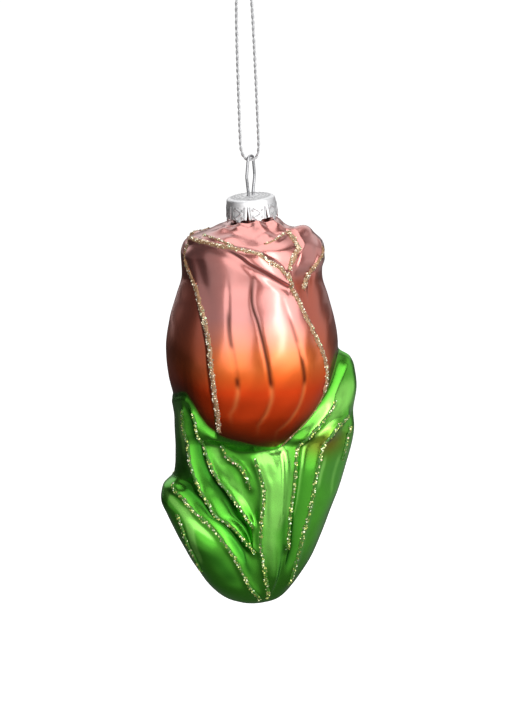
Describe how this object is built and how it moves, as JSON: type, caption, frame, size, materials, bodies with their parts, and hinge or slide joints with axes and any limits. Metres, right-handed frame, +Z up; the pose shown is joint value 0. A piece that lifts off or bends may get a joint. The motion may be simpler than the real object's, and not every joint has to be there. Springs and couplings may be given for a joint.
{
  "type": "tulip ornament",
  "caption": "Hanging blown-glass tulip ornament with lacquered petals and leaves, raised glitter trails, a crown cap, a sprung wire eye and a tied cord loop.",
  "frame": {"origin": "inside the top of the cord loop, just under the knot, where a hook or twig carries it", "axes": "+Z up, -Y towards the viewer of the picture, +X to the viewer's right"},
  "size_m": [0.0501, 0.0448, 0.1699],
  "materials": {
    "lacquered_glass": "blown glass silvered inside, with rose to copper lacquer on the petals and green lacquer on the leaves",
    "gold_glitter": "champagne gold glitter set in clear glue",
    "green_glitter": "green gold glitter set in clear glue",
    "cap_aluminium": "bright stamped aluminium sheet",
    "hanger_wire": "bright drawn wire",
    "silver_cord": "two-ply silver metallic thread"
  },
  "bodies": {
    "cord": {"hanging_cord": "silver_cord", "cord_knot": "silver_cord"},
    "hanger": {"wire_hanger": "hanger_wire", "crown_cap": "cap_aluminium"},
    "glass": {"glass_body": "lacquered_glass", "glitter_inner_petal_crest": "gold_glitter", "glitter_inner_petal_fold": "gold_glitter", "glitter_low_leaf_edge": "green_glitter", "glitter_low_leaf_rib": "green_glitter", "glitter_petal_left_edge": "gold_glitter", "glitter_petal_right_edge": "gold_glitter", "glitter_petal_rim": "gold_glitter", "glitter_right_leaf_inner": "green_glitter", "glitter_right_leaf_outer": "green_glitter", "glitter_right_leaf_tip": "green_glitter", "glitter_short_leaf": "green_glitter", "glitter_side_petal_fold": "gold_glitter", "glitter_side_petal_lip": "gold_glitter", "glitter_stem": "green_glitter", "glitter_tall_leaf_inner": "green_glitter", "glitter_tall_leaf_outer": "green_glitter"}
  },
  "joints": [
    {"name": "hanger_swing", "type": "hinge", "parent": "cord", "child": "hanger", "pos_m": [0, 0, -0.048], "axis": [1, 0, 0], "range_deg": [-75, 75]},
    {"name": "glass_pull", "type": "slide", "parent": "hanger", "child": "glass", "axis": [0.0436, 0, -0.999], "range_m": [0, 0.016]}
  ]
}
